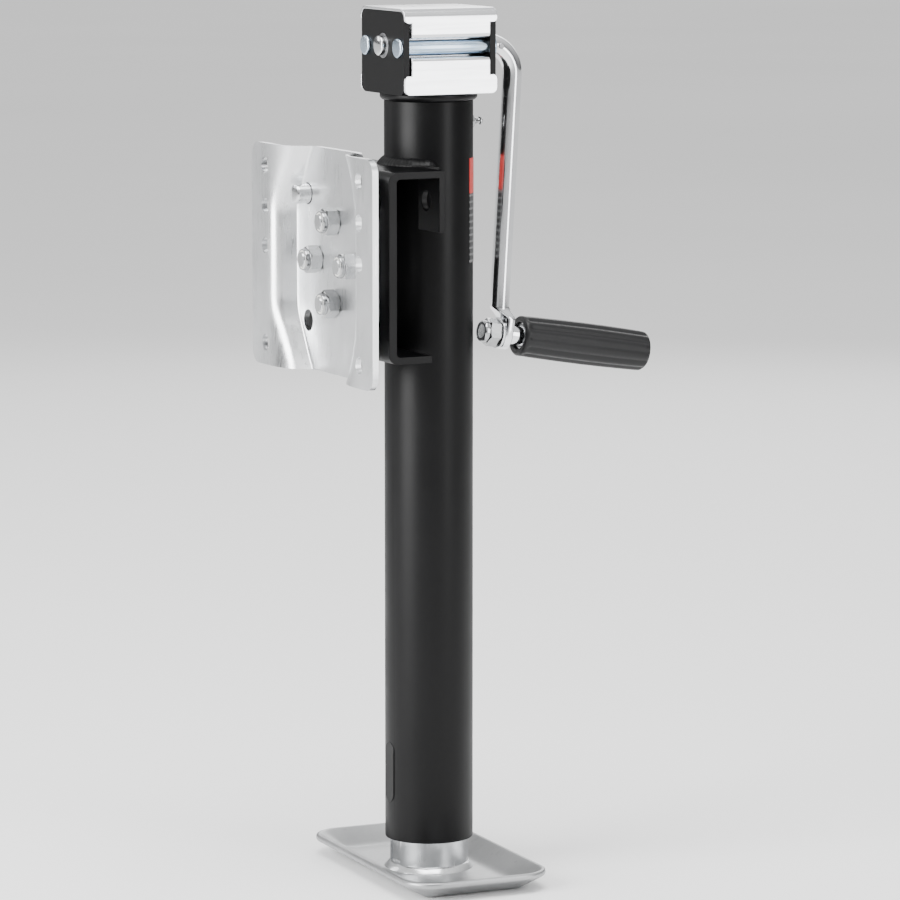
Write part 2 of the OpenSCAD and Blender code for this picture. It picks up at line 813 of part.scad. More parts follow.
module pull_bar() {
    len = 46;
    color("#c4c7ca") translate([-2, index_d, pivot_z + index_d - len / 2]) {
        translate([0, 0, 1]) cylinder(d = 8, h = len - 2);
        cylinder(d1 = 6, d2 = 8, h = 1);
        translate([0, 0, len - 1]) cylinder(d1 = 8, d2 = 6, h = 1);
    }
}

outer_tube();
guide_key();
bearing_seat();
head_collar();
screw_bushing();
gear_housing();
gear_cover();
tie_rivet_front();
tie_rivet_rear();
shaft_bushings();
upper_race();
bearing_balls();
bearing_cage();
grease_fitting();
swivel_bracket();
bracket_welds();
pin_spring();
info_label();
inner_tube();
lift_nut();
foot_plate();
foot_weld();
lift_screw();
lower_race();
screw_gear();
screw_gear_pin();
crank_bar();
pinion_gear();
pinion_pin();
crank_cross_pin();
grip_bolt();
grip_sleeve();
grip_washer();
grip_lock_nut();
grip_nut_insert();
hand_grip();
mount_plate();
swivel_hub();
retainer_disc();
swivel_bolts();
swivel_nuts();
swivel_nut_inserts();
lock_pin();
pin_collar();
pull_bar();
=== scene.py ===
"""Looks of a trailer tongue jack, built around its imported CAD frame.

Piece and cutter shapes are in millimetres until make() and carved() scale them to metres. Camera,
floor, lights and shader sizes are in metres.
"""
import math

import bmesh
import bpy
from mathutils import Matrix, Vector


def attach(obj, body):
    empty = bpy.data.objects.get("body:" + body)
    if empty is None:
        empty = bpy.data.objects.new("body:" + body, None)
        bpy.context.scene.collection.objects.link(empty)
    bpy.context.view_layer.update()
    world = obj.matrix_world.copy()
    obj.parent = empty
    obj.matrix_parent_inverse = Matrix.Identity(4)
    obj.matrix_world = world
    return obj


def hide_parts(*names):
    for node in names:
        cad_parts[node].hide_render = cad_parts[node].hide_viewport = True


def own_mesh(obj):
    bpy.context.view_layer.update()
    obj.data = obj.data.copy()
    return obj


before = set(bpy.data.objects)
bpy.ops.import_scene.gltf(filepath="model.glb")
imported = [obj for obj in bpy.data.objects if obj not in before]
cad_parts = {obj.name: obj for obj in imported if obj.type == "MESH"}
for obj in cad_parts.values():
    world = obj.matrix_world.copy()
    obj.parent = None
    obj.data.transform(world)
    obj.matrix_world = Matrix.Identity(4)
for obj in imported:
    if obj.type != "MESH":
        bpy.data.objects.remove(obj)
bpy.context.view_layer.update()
MM = 0.001
TUBE_R, TUBE_BORE_R = 28.6, 25.7
INNER_R, INNER_BORE_R = 25.4, 22.2
HEAD_HALF_X = 32.5  # half width across the head's side plates
SHAFT_Z = 539.0
BAR_R = 6.35  # crank bar and lock pin
BOLT_R = 5.0  # grip bolt and the four swivel bolts
PIVOT_Z = 402.0  # height of the swivel's axis
PIN_Y, PIN_Z = 41.01, 443.01

# ---------------------------------------------------------------- materials


def nodes_of(name):
    mat = bpy.data.materials.new(name)
    mat.use_nodes = True
    tree = mat.node_tree
    return mat, tree, tree.nodes["Principled BSDF"]


def coords(tree, scale=(1, 1, 1)):
    tex = tree.nodes.new("ShaderNodeTexCoord")
    mapping = tree.nodes.new("ShaderNodeMapping")
    mapping.inputs["Scale"].default_value = scale
    tree.links.new(tex.outputs["Object"], mapping.inputs["Vector"])
    return mapping.outputs["Vector"]


def noise_of(tree, vector, scale, detail, rough=0.55):
    node = tree.nodes.new("ShaderNodeTexNoise")
    node.inputs["Scale"].default_value = scale
    node.inputs["Detail"].default_value = detail
    node.inputs["Roughness"].default_value = rough
    tree.links.new(vector, node.inputs["Vector"])
    return node.outputs["Fac"]


def spread(tree, value, low, high, from_low=0.3, from_high=0.7):
    node = tree.nodes.new("ShaderNodeMapRange")
    node.inputs["From Min"].default_value = from_low
    node.inputs["From Max"].default_value = from_high
    node.inputs["To Min"].default_value = low
    node.inputs["To Max"].default_value = high
    tree.links.new(value, node.inputs["Value"])
    return node.outputs["Result"]


def blend_colour(tree, factor, a, b):
    node = tree.nodes.new("ShaderNodeMix")
    node.data_type = "RGBA"
    tree.links.new(factor, node.inputs["Factor"])
    for socket, value in ((node.inputs[6], a), (node.inputs[7], b)):
        if isinstance(value, tuple):
            socket.default_value = (*value, 1)
        else:
            tree.links.new(value, socket)
    return node.outputs[2]


def bump_of(tree, shader, height, strength, distance):
    node = tree.nodes.new("ShaderNodeBump")
    node.inputs["Strength"].default_value = strength
    node.inputs["Distance"].default_value = distance
    tree.links.new(height, node.inputs["Height"])
    tree.links.new(node.outputs["Normal"], shader.inputs["Normal"])


def metal(name, dark, light, rough, stretch=(1, 1, 1), cloud=28.0, grain=0.25, wear=0.0):
    """Plated or bare metal: cloudy tone, streaked roughness and a fine grain."""
    mat, tree, bsdf = nodes_of(name)
    bsdf.inputs["Metallic"].default_value = 1.0
    plain = coords(tree)
    streak = coords(tree, stretch)
    clouds = noise_of(tree, plain, cloud, 5)
    lines = noise_of(tree, streak, 420, 6, 0.65)
    colour = blend_colour(tree, spread(tree, clouds, 0, 1), dark, light)
    if wear:
        specks = spread(tree, noise_of(tree, plain, 160, 3), 0, wear, 0.62, 0.72)
        colour = blend_colour(tree, specks, colour, tuple(c * 0.55 for c in dark))
    tree.links.new(colour, bsdf.inputs["Base Color"])
    mixed = tree.nodes.new("ShaderNodeMath")
    mixed.operation = "ADD"
    tree.links.new(spread(tree, lines, -0.05, 0.07), mixed.inputs[0])
    tree.links.new(spread(tree, clouds, rough * 0.85, rough * 1.2), mixed.inputs[1])
    tree.links.new(mixed.outputs[0], bsdf.inputs["Roughness"])
    bump_of(tree, bsdf, lines, grain, 0.00004)
    return mat


def powder_coat(name, base, rough):
    """Baked paint: orange-peel ripple, faint dust, tone changes and gloss that fades at glancing angles."""
    mat, tree, bsdf = nodes_of(name)
    plain = coords(tree)
    peel = noise_of(tree, plain, 520, 3, 0.5)
    slow = noise_of(tree, plain, 16, 4)
    dust = spread(tree, noise_of(tree, plain, 900, 2), 0, 0.3, 0.66, 0.78)
    tone = blend_colour(tree, spread(tree, slow, 0, 1), base, tuple(c * 1.35 + 0.0005 for c in base))
    colour = blend_colour(tree, dust, tone, tuple(c * 2.2 + 0.006 for c in base))
    tree.links.new(colour, bsdf.inputs["Base Color"])
    tree.links.new(spread(tree, slow, rough - 0.04, rough + 0.06), bsdf.inputs["Roughness"])
    facing = tree.nodes.new("ShaderNodeLayerWeight").outputs["Facing"]
    tree.links.new(spread(tree, facing, 0.165, 0.015, 0.45, 0.9), bsdf.inputs["Specular IOR Level"])
    bump_of(tree, bsdf, peel, 0.16, 0.00008)
    return mat


def plastic(name, base, rough, grain, strength, glow=1.5, shine=0.5):
    mat, tree, bsdf = nodes_of(name)
    plain = coords(tree)
    fine = noise_of(tree, plain, grain, 4, 0.6)
    slow = noise_of(tree, plain, 30, 3)
    tree.links.new(blend_colour(tree, spread(tree, slow, 0, 1), base, tuple(c * glow for c in base)),
                   bsdf.inputs["Base Color"])
    tree.links.new(spread(tree, fine, rough - 0.06, rough + 0.08), bsdf.inputs["Roughness"])
    bsdf.inputs["Specular IOR Level"].default_value = shine
    bump_of(tree, bsdf, fine, strength, 0.00008)
    return mat


def label_film(name):
    """Printed film: a red head over a dark field with plain grey bars."""
    bar_pitch, bar_edge, head_from = 0.0021, 0.00145, 0.4445
    mat, tree, bsdf = nodes_of(name)
    tex = tree.nodes.new("ShaderNodeTexCoord")
    split = tree.nodes.new("ShaderNodeSeparateXYZ")
    tree.links.new(tex.outputs["Object"], split.inputs[0])

    def step(socket, edge):
        node = tree.nodes.new("ShaderNodeMath")
        node.operation = "GREATER_THAN"
        node.inputs[1].default_value = edge
        tree.links.new(socket, node.inputs[0])
        return node.outputs[0]

    wave = tree.nodes.new("ShaderNodeMath")
    wave.operation = "PINGPONG"
    wave.inputs[1].default_value = bar_pitch
    tree.links.new(split.outputs["Z"], wave.inputs[0])
    bars = blend_colour(tree, step(wave.outputs[0], bar_edge), (0.010, 0.010, 0.011), (0.13, 0.13, 0.13))
    field = blend_colour(tree, step(split.outputs["Z"], head_from), bars, (0.46, 0.022, 0.018))
    tree.links.new(field, bsdf.inputs["Base Color"])
    fine = noise_of(tree, coords(tree), 300, 3)
    tree.links.new(spread(tree, fine, 0.3, 0.42), bsdf.inputs["Roughness"])
    bump_of(tree, bsdf, fine, 0.08, 0.00005)
    return mat


METALS = {  # dark tone, light tone, roughness, streak scale, cloud scale, grain, wear
    "bright_zinc": ((0.66, 0.67, 0.68), (0.78, 0.79, 0.80), 0.30, (1, 1, 0.06), 22, 0.22, 0.12),
    "cover_zinc": ((0.76, 0.77, 0.79), (0.86, 0.87, 0.89), 0.17, (0.05, 1, 1), 18, 0.12),
    "foot_zinc": ((0.30, 0.305, 0.31), (0.44, 0.445, 0.45), 0.38, (1, 1, 1), 14, 0.3, 0.2),
    # Zinc for the nuts and the grease nipple, toned darker than the plate as painted shade: it stands in
    # for the occlusion and the dark surroundings reflected in them.
    "shade_darkened_zinc": ((0.28, 0.285, 0.29), (0.46, 0.465, 0.47), 0.13, (1, 1, 0.3), 60, 0.15, 0.2),
    "plain_zinc": ((0.56, 0.57, 0.58), (0.74, 0.75, 0.76), 0.21, (1, 1, 0.1), 60, 0.2, 0.2),
    "blue_zinc": ((0.30, 0.42, 0.55), (0.62, 0.72, 0.82), 0.20, (0.03, 1, 1), 40, 0.15, 0.1),
    "dull_steel": ((0.36, 0.36, 0.37), (0.52, 0.52, 0.53), 0.38, (1, 1, 0.2), 45, 0.3, 0.3),
    "dark_steel": ((0.16, 0.16, 0.17), (0.30, 0.30, 0.31), 0.34, (1, 1, 0.2), 45, 0.3, 0.3),
    "race_steel": ((0.60, 0.61, 0.63), (0.74, 0.75, 0.76), 0.16, (1, 1, 1), 30, 0.1),
    "spring_steel": ((0.34, 0.35, 0.37), (0.50, 0.51, 0.53), 0.26, (1, 1, 1), 80, 0.2, 0.2),
    "bronze": ((0.42, 0.27, 0.11), (0.62, 0.44, 0.22), 0.32, (1, 1, 0.3), 50, 0.3, 0.25),
    "chrome_bar": ((0.74, 0.75, 0.77), (0.84, 0.85, 0.86), 0.11, (1, 1, 0.05), 26, 0.08, 0.08),
}
MATS = {"black_coat": powder_coat("black_coat", (0.0016, 0.0016, 0.0018), 0.36)}
MATS.update({name: metal(name, *look) for name, look in METALS.items()})
MATS["grip_plastic"] = plastic("grip_plastic", (0.006, 0.006, 0.0065), 0.42, 620, 0.3, 1.4, 0.3)
MATS["dark_nylon"] = plastic("dark_nylon", (0.018, 0.020, 0.026), 0.42, 400, 0.2)
MATS["white_nylon"] = plastic("white_nylon", (0.62, 0.62, 0.59), 0.42, 400, 0.2, 1.15)
MATS["label_film"] = label_film("label_film")

# ---------------------------------------------------------------- mesh tools


def turn_to(axis, at, roll=0.0):
    """Matrix that takes local +Z to axis, with the origin at a point."""
    quat = Vector((0, 0, 1)).rotation_difference(Vector(axis).normalized())
    return Matrix.Translation(Vector(at)) @ quat.to_matrix().to_4x4() @ Matrix.Rotation(roll, 4, "Z")


def moved(part, matrix):
    verts, faces = part
    return [tuple(matrix @ Vector(v)) for v in verts], faces


def joined(*parts):
    verts, faces = [], []
    for v, f in parts:
        base = len(verts)
        verts += v
        faces += [tuple(i + base for i in face) for face in f]
    return verts, faces


def soft(points, radius, steps=3, closed=True):
    """Rounds a polygon's corners. A radius may be one number or one for each corner."""
    out, n = [], len(points)
    for i, p in enumerate(points):
        r = radius[i] if isinstance(radius, (list, tuple)) else radius
        if r <= 0 or (not closed and i in (0, n - 1)):
            out.append(tuple(p))
            continue
        a, b, c = Vector(points[i - 1]), Vector(p), Vector(points[(i + 1) % n])
        u, v = a - b, c - b
        cut = min(r, u.length * 0.45, v.length * 0.45)
        s, e = b + u.normalized() * cut, b + v.normalized() * cut
        for k in range(steps + 1):
            t = k / steps
            q = s * (1 - t) ** 2 + b * 2 * t * (1 - t) + e * t * t
            out.append((q.x, q.y))
    return out


def skin(rings, closed_along=False, caps=True):
    """Faces between rings of equal length. Caps close the two ends."""
    n = len(rings[0])
    verts = [v for ring in rings for v in ring]
    faces = []
    count = len(rings)
    for k in range(count if closed_along else count - 1):
        a, b = k * n, ((k + 1) % count) * n
        for i in range(n):
            j = (i + 1) % n
            faces.append((a + i, a + j, b + j, b + i))
    if caps and not closed_along:
        faces.append(tuple(reversed(range(n))))
        faces.append(tuple(range((count - 1) * n, count * n)))
    return verts, faces


def angles(n):
    return [2 * math.pi * i / n for i in range(n)]


def circle(radius, z, n):
    return [(radius * math.cos(a), radius * math.sin(a), z) for a in angles(n)]


def lathe(profile, n, hollow=True):
    """Turned piece about Z from a profile of (radius, height). A hollow profile closes on itself."""
    if hollow:
        return skin([circle(r, z, n) for r, z in profile], closed_along=True)
    first, last = profile[0], profile[-1]
    inner = [p for p in profile if p[0] > 1e-6]
    verts, faces = skin([circle(r, z, n) for r, z in inner], caps=False)
    for end, ring0 in ((first, 0), (last, (len(inner) - 1) * n)):
        if end[0] < 1e-6:
            verts.append((0, 0, end[1]))
            faces += [(len(verts) - 1, ring0 + i, ring0 + (i + 1) % n) for i in range(n)]
        else:
            faces.append(tuple(range(ring0, ring0 + n)))
    return verts, faces


def hex_block(across, height, hole):
    """Hexagon nut or bolt head with turned chamfers; hole 0 leaves it solid."""
    sides, chamfer_from, chamfer_angle = 72, 0.97, 30

    def reach(a):
        return across / 2 / math.cos((a + math.pi / 6) % (math.pi / 3) - math.pi / 6)

    flat = across / 2 * chamfer_from
    drop = math.tan(math.radians(chamfer_angle))
    levels = []
    for ring in ("hole_low", "flat_low", "edge_low", "edge_high", "flat_high", "hole_high"):
        pts = []
        for a in angles(sides):
            r = reach(a)
            lip = max(r - flat, 0) * drop
            if ring.startswith("hole"):
                r, z = max(hole, 0.02), 0 if ring == "hole_low" else height
            elif ring.startswith("flat"):
                r, z = flat * 0.98, 0 if ring == "flat_low" else height
            elif ring == "edge_low":
                z = lip
            else:
                z = height - lip
            pts.append((r * math.cos(a), r * math.sin(a), z))
        levels.append(pts)
    return skin(levels, closed_along=hole > 0)


def thread(radius, depth, pitch, length, n, starts_at=0.0):
    """Solid screw about Z with a helical thread that fades out at both ends and narrows at the top."""
    rows_per_turn, fade_rows, flank, tip = 8, 8, 1.35, 0.5
    rows = max(int(length / pitch * rows_per_turn), rows_per_turn)
    rings = []
    for k in range(rows + 1):
        z = starts_at + length * k / rows
        ends = min(1.0, k / fade_rows, (rows - k) / fade_rows)
        narrowed = tip * (1 - ends) if k > rows / 2 else 0
        ring = []
        for a in angles(n):
            phase = (z / pitch - a / (2 * math.pi)) % 1
            cut = abs(phase - 0.5) * 2
            r = radius - depth * (1 - min(1, cut * flank)) * ends - narrowed
            ring.append((r * math.cos(a), r * math.sin(a), z))
        rings.append(ring)
    return skin(rings)


def coil(radius, wire, turns, length):
    """Compression spring about Z whose end turns lie flat."""
    wire_sides, per_turn = 10, 28
    rings = []
    count = int(turns * per_turn)
    flat, end_rise, end_gap = 0.9, 0.2, 0.4
    for k in range(count + 1):
        t = k / per_turn * 2 * math.pi
        s = min(max((k / per_turn - flat) / (turns - 2 * flat), 0), 1)
        z = wire / 2 + (k / per_turn / turns) * end_rise + s * (length - wire - end_gap)
        centre = Vector((radius * math.cos(t), radius * math.sin(t), z))
        out = Vector((math.cos(t), math.sin(t), 0)) * (wire / 2)
        up = Vector((0, 0, wire / 2))
        rings.append([tuple(centre + out * math.cos(a) + up * math.sin(a)) for a in angles(wire_sides)])
    return skin(rings)


def ease(t):
    t = min(max(t, 0), 1)
    return t * t * (3 - 2 * t)


def rounded_rect(hx, hy, r, per_corner):
    pts = []
    for cx, cy, a0 in ((1, 1, 0), (-1, 1, 90), (-1, -1, 180), (1, -1, 270)):
        for k in range(per_corner + 1):
            a = math.radians(a0 + 90 * k / per_corner)
            pts.append((cx * (hx - r) + r * math.cos(a), cy * (hy - r) + r * math.sin(a)))
    return pts


def make(name, part, mat, body, replaces, sharp=35):
    """A finished piece from a millimetre shape, riding on a body in place of CAD nodes."""
    verts, faces = part
    mesh = bpy.data.meshes.new(name)
    mesh.from_pydata([tuple(c * MM for c in v) for v in verts], [], faces)
    piece = bpy.data.objects.new(name, mesh)
    bpy.context.scene.collection.objects.link(piece)
    tidy_mesh(mesh, sharp)
    dress(piece, mat)
    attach(piece, body)
    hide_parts(*replaces)
    return piece


def tidy_mesh(mesh, sharp):
    """Merges doubled points, turns faces outwards and shades smooth below the sharp angle."""
    bm = bmesh.new()
    bm.from_mesh(mesh)
    bmesh.ops.remove_doubles(bm, verts=bm.verts, dist=0.002 * MM)
    bmesh.ops.recalc_face_normals(bm, faces=bm.faces)
    bm.to_mesh(mesh)
    bm.free()
    for poly in mesh.polygons:
        poly.use_smooth = True
    mesh.set_sharp_from_angle(angle=math.radians(sharp))


def dress(piece, mat):
    piece.data.materials.clear()
    piece.data.materials.append(MATS[mat])


def bevelled(piece, width, segments):
    mod = piece.modifiers.new("edge", "BEVEL")
    mod.width = width * MM
    mod.segments = segments
    mod.limit_method = "ANGLE"
    mod.angle_limit = math.radians(38)
    mod.harden_normals = True


def softened(node, mat, body, width, segments=2):
    """A finished piece in the CAD node's shape: cleaned faces and rounded edges."""
    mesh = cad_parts[node].data.copy()
    mesh.name = node + "_finish"
    piece = bpy.data.objects.new(node + "_finish", mesh)
    bpy.context.scene.collection.objects.link(piece)
    bm = bmesh.new()
    bm.from_mesh(mesh)
    bmesh.ops.remove_doubles(bm, verts=bm.verts, dist=0.004 * MM)
    bmesh.ops.dissolve_limit(bm, angle_limit=math.radians(0.6), verts=bm.verts, edges=bm.edges)
    bm.to_mesh(mesh)
    bm.free()
    tidy_mesh(mesh, 32)
    dress(piece, mat)
    bevelled(piece, width, segments)
    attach(piece, body)
    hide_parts(node)
    return piece


def carved(piece, part, operation):
    """Applies one boolean with a cutter mesh, then drops the cutter."""
    mesh = bpy.data.meshes.new("cutter")
    mesh.from_pydata([tuple(c * MM for c in v) for v in part[0]], [], part[1])
    tidy_mesh(mesh, 30)
    cutter = bpy.data.objects.new("cutter", mesh)
    bpy.context.scene.collection.objects.link(cutter)
    mod = piece.modifiers.new("cut", "BOOLEAN")
    mod.operation = operation
    mod.solver = "EXACT"
    mod.object = cutter
    bpy.context.view_layer.update()
    result = bpy.data.meshes.new_from_object(piece.evaluated_get(bpy.context.evaluated_depsgraph_get()))
    piece.modifiers.clear()
    piece.data = result
    bpy.data.objects.remove(cutter)


def rod(radius, x0, x1, y, z, edge):
    """Solid bar along X with rounded ends."""
    length = x1 - x0
    side = soft([(0.01, 0), (radius, 0), (radius, length), (0.01, length)], edge, 3, False)[1:-1]
    return moved(lathe([(0, 0)] + side + [(0, length)], 48, False), turn_to((1, 0, 0), (x0, y, z)))


# ---------------------------------------------------------------- camera, floor, light

camera = bpy.data.objects.new("camera", bpy.data.cameras.new("camera"))
bpy.context.scene.collection.objects.link(camera)
camera.data.lens = 187.6
camera.data.sensor_width = 36
camera.data.clip_start, camera.data.clip_end = 0.05, 60
azimuth, pitch = math.radians(-26.43), math.radians(8.01)
camera.location = (-1.32366, -2.69384, 0.69971)
camera.rotation_euler = (math.radians(90) - pitch, 0, azimuth)
bpy.context.scene.camera = camera


def stage_material():
    mat, tree, bsdf = nodes_of("studio_floor")
    slow = noise_of(tree, coords(tree), 0.7, 3)
    tree.links.new(blend_colour(tree, spread(tree, slow, 0, 1), (0.88, 0.88, 0.88), (0.91, 0.91, 0.91)),
                   bsdf.inputs["Base Color"])
    tree.links.new(spread(tree, slow, 0.75, 0.85), bsdf.inputs["Roughness"])
    return mat


floor_mesh = bpy.data.meshes.new("floor")
FLOOR_R, FLOOR_Z, FLOOR_SIDES = 40, -0.0002, 64
floor_mesh.from_pydata(circle(FLOOR_R, FLOOR_Z, FLOOR_SIDES), [], [tuple(range(FLOOR_SIDES))])
floor = bpy.data.objects.new("floor", floor_mesh)
floor_mesh.materials.append(stage_material())
bpy.context.scene.collection.objects.link(floor)

world = bpy.data.worlds.new("studio")
bpy.context.scene.world = world
world.use_nodes = True
tree = world.node_tree
plain_sky = tree.nodes["Background"]
plain_sky.inputs["Color"].default_value = (0.97, 0.975, 0.98, 1)
plain_sky.inputs["Strength"].default_value = 1.6
soft_sky = tree.nodes.new("ShaderNodeBackground")
way = tree.nodes.new("ShaderNodeTexCoord")
way_xyz = tree.nodes.new("ShaderNodeSeparateXYZ")
tree.links.new(way.outputs["Generated"], way_xyz.inputs[0])
tree.links.new(spread(tree, way_xyz.outputs["Z"], 0.16, 1.5, 0.0, 0.75), soft_sky.inputs["Strength"])
seen = tree.nodes.new("ShaderNodeLightPath")
either = tree.nodes.new("ShaderNodeMixShader")
tree.links.new(seen.outputs["Is Camera Ray"], either.inputs["Fac"])
tree.links.new(soft_sky.outputs[0], either.inputs[1])
tree.links.new(plain_sky.outputs[0], either.inputs[2])
tree.links.new(either.outputs[0], tree.nodes["World Output"].inputs["Surface"])


def area(name, at, size, power, toward=(0, 0, 0.35)):
    data = bpy.data.lights.new(name, "AREA")
    data.shape = "RECTANGLE"
    data.size, data.size_y = size
    data.energy = power
    data.spread = math.radians(155)
    light = bpy.data.objects.new(name, data)
    bpy.context.scene.collection.objects.link(light)
    light.location = at
    light.rotation_euler = (Vector(toward) - Vector(at)).to_track_quat("-Z", "Y").to_euler()
    light.visible_camera = False


area("key", (-2.2, -0.35, 0.75), (1.3, 2.2), 96)
area("front", (1.05, -2.3, 0.75), (0.7, 2.2), 22)
area("top", (-0.2, -0.5, 2.6), (1.8, 1.6), 60, (0, 0, 0.3))
area("back", (1.6, 2.2, 1.4), (1.6, 1.4), 18)
area("far_left", (-1.5, 2.2, 1.3), (0.7, 1.2), 7)

# ---------------------------------------------------------------- outer leg


def tube_ring(r_in, r_out, z0, z1, edge=0.3, n=48):
    """Plain ring about Z with softened edges."""
    return lathe(soft([(r_in, z0), (r_out, z0), (r_out, z1), (r_in, z1)], edge), n)


def bar_x(radius, x0, x1, y, z):
    """Plain solid bar along X."""
    length = x1 - x0
    bar = lathe([(0, 0), (radius, 0), (radius, length), (0, length)], 40, False)
    return moved(bar, turn_to((1, 0, 0), (x0, y, z)))


def key_solid(width, x0, x1, edge=0.0):
    """Round-ended block along X, narrowed by edge at its first face."""
    bottom, height = 48.0, 40.0
    half = width / 2
    outline = []
    for centre, start in ((bottom + height - half, 0), (bottom + half, 180)):
        for turned in range(0, 181, 12):
            a = math.radians(start + turned)
            outline.append((half * math.cos(a), centre + half * math.sin(a)))
    middle = bottom + height / 2
    rings = []
    for x, inset in ((x0, edge), (x0 + edge, 0), (x1, 0)):
        k = (half - inset) / half
        rings.append([(x, y * k, middle + (z - middle) * (1 - inset / (height / 2))) for y, z in outline])
    return skin(rings)


OUTER_LOW, OUTER_HIGH = 23.5, 504
tube = make("outer_tube_shell", tube_ring(TUBE_BORE_R, TUBE_R, OUTER_LOW, OUTER_HIGH, 0.7, 128),
            "black_coat", "jack_body", ["outer_tube"])
carved(tube, key_solid(12, -34, -20), "DIFFERENCE")
tidy_mesh(tube.data, 35)
make("groove_key_plug", key_solid(11.7, -28.75, -24.2, 0.35), "black_coat", "jack_body", ["guide_key"])

COLLAR = [(11.05, 504.02), (29.6, 504.02), (31.3, 505.6), (31.3, 508.45), (11.05, 508.45)]
make("head_collar_ring", lathe(soft(COLLAR, [0, 0.4, 1.2, 0.6, 0]), 96), "black_coat", "jack_body",
     ["head_collar"])
softened("gear_housing", "black_coat", "jack_body", 0.9, 3)
softened("gear_cover", "cover_zinc", "jack_body", 0.45, 2)


def rivet(y):
    """Tie rivet through the head, with a flat head outside each side plate."""
    z, radius, head_t = 538.3, 4.98, 2
    head = soft([(0.01, 0), (5.7, 0), (6.3, 0.8), (6.3, head_t), (5.0, 2.02)],
                [0, 0.5, 0.6, 0.2, 0], 3, False)
    profile = [(0, 0)] + head[1:-1] + [(radius, 2.02), (0, 2.02)]
    heads = []
    for s in (-1, 1):
        inwards = turn_to((s, 0, 0), (s * (HEAD_HALF_X + head_t), y, z)) @ Matrix.Scale(-1, 4, (0, 0, 1))
        heads.append(moved(lathe(profile, 48, False), inwards))
    return joined(rod(radius, 0.1 - HEAD_HALF_X, HEAD_HALF_X - 0.1, y, z, 0.1), *heads)


for place, y in (("front", -23.8), ("rear", 23.8)):
    make(f"tie_rivet_{place}_bar", rivet(y), "blue_zinc", "jack_body", [f"tie_rivet_{place}"])


def bushing(s):
    """Flanged bush in one side plate. s is the side it is on."""
    profile = soft([(6.42, -2.02), (10, -2.02), (10, 0), (8, 0.02), (8, 4), (6.42, 4)],
                   [0.3, 0.4, 0.1, 0, 0.4, 0.3], 2)
    return moved(lathe(profile, 64), turn_to((s, 0, 0), (s * (HEAD_HALF_X - 4), 0, SHAFT_Z)))


# The bushes are dark steel as painted shade: their flanges stand in for the dark shadow ring round each
# shaft end.
make("shaft_bushing_pair", joined(bushing(1), bushing(-1)), "dark_steel", "jack_body", ["shaft_bushings"])


def grease_nipple():
    """Tail in the tube wall, hexagon and ball-ended nose, along +X."""
    side = soft([(0.01, 0), (2.5, 0), (2.5, 3), (2.4, 3)], 0.1, 2, False)[1:]
    tail = lathe([(0, 0)] + side + [(0, 3)], 32, False)
    body = moved(hex_block(7.6, 3.2, 0), Matrix.Translation((0, 0, 2.4)))
    nose = [(0, 5.3), (3.1, 5.3), (3.1, 6.0), (2.1, 7.8), (1.9, 8.8), (2.1, 9.6), (2.8, 10.2), (2.85, 10.9),
            (1.8, 12.0), (0, 12.1)]
    return moved(joined(tail, body, lathe(nose, 32, False)), turn_to((1, 0, 0), (26.1, 0, 489)))


make("grease_nipple", grease_nipple(), "shade_darkened_zinc", "jack_body", ["grease_fitting"],
     sharp=25)
softened("swivel_bracket", "black_coat", "jack_body", 0.8, 3)


def bead_ring(section, radius, a, z, up=1):
    """A weld bead's section at angle a round the tube. up is -1 for a bead that faces down."""
    return [((radius + dr) * math.cos(a), (radius + dr) * math.sin(a), z + up * dz) for dr, dz in section]


def weld_arc(radius, z, up, span, bead, n_along, seed):
    """Faintly rippled fillet bead round the tube, centred on the mount side."""
    rings = []
    for k in range(n_along + 1):
        along = 2 * k / n_along - 1
        a = math.pi + math.radians(span) * along
        ends = math.sqrt(max(0.02, 1 - abs(along) ** 8))
        ripple = 1 + 0.012 * math.cos(k * math.pi / 3.5) + 0.03 * math.sin(k * 0.23 + seed)
        b = bead * ends * ripple
        section = [(0, -0.6), (b * 1.02, -0.6), (b, 0.05), (b * 0.80, b * 0.36), (b * 0.48, b * 0.72),
                   (b * 0.12, b), (0, b * 1.05)]
        rings.append(bead_ring(section, radius, a, z, up))
    return skin(rings)


BRACKET_BEADS = joined(weld_arc(28.5, 463, 1, 75, 4.8, 210, 1), weld_arc(28.5, 342, -1, 17, 2.6, 60, 2))
make("bracket_weld_beads", BRACKET_BEADS, "black_coat", "jack_body", ["bracket_welds"], sharp=60)


def label_sheet():
    """Thin curved sheet just clear of the tube, facing +X."""
    r_in, r_out, half_angle, steps = TUBE_R + 0.02, TUBE_R + 0.32, 51, 40
    rings = []
    for z in (400, 400.2, 445, 466.8, 467):
        ring = []
        for r, way_round in ((r_in, 1), (r_out, -1)):
            for k in range(steps + 1):
                a = math.radians(half_angle * way_round * (2 * k / steps - 1))
                ring.append((r * math.cos(a), r * math.sin(a), z))
        rings.append(ring)
    return skin(rings)


make("label_patch", label_sheet(), "label_film", "jack_body", ["info_label"])

SPRING_FROM, SPRING_LENGTH, PULL = -48.1, 25.8, 15.5
spring = make("pin_spring_coil",
              moved(coil(8.2, 1.5, 6.5, SPRING_LENGTH), turn_to((1, 0, 0), (SPRING_FROM, PIN_Y, PIN_Z))),
              "spring_steel", "jack_body", ["pin_spring"], sharp=70)
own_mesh(spring)

# ---------------------------------------------------------------- inner leg and foot


def groove_cutter():
    """Block that cuts the guide groove down the leg's -X side."""
    half, low, high, groove_floor = 7.2, 8.4, 475, -23.5
    outline = [(-half, low), (half, low), (half, high), (-half, high)]
    return skin([[(x, y, z) for y, z in outline] for x in (-30, groove_floor)])


INNER_LOW, INNER_HIGH = 3.25, 479
inner = make("inner_tube_shell", tube_ring(INNER_BORE_R, INNER_R, INNER_LOW, INNER_HIGH, 0.5, 112),
             "plain_zinc", "leg", ["inner_tube"])
carved(inner, groove_cutter(), "DIFFERENCE")
tidy_mesh(inner.data, 35)


